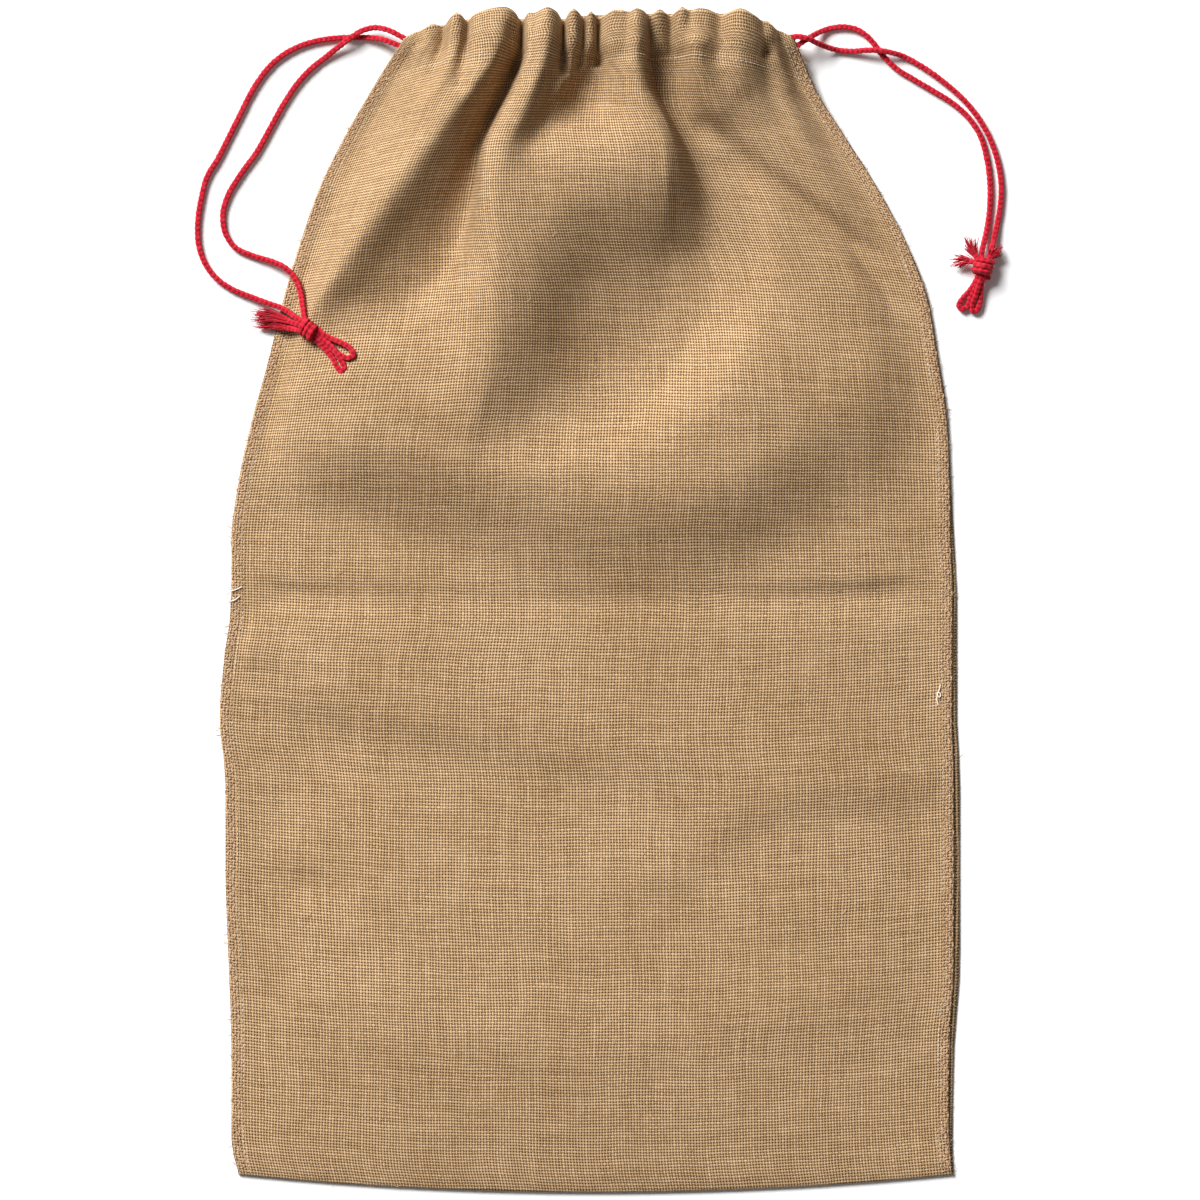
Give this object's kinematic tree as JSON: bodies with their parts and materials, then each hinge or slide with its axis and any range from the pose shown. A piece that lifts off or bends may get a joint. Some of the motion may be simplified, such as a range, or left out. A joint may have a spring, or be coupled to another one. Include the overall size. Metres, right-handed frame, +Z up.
{
  "type": "burlap sack",
  "caption": "Empty burlap sack lying flat: folded bottom, stitched sides, a hemmed mouth gathered by a drawcord whose ends leave each side in a slipped knot.",
  "frame": {"origin": "under the middle of the sack's own box, on the surface it lies on", "axes": "+X to the right of the front, +Y from the bottom fold to the mouth, +Z up out of the front"},
  "size_m": [0.5471, 0.8036, 0.051],
  "materials": {
    "burlap": "coarse open plain weave of natural jute",
    "red_cotton": "soft braided cotton, frayed at its ends"
  },
  "bodies": {
    "root": {"sack": "burlap", "cord_left_inner": "red_cotton", "cord_left_outer": "red_cotton", "cord_right_a": "red_cotton", "cord_right_b": "red_cotton", "knot_left": "red_cotton", "knot_right": "red_cotton"}
  },
  "joints": []
}
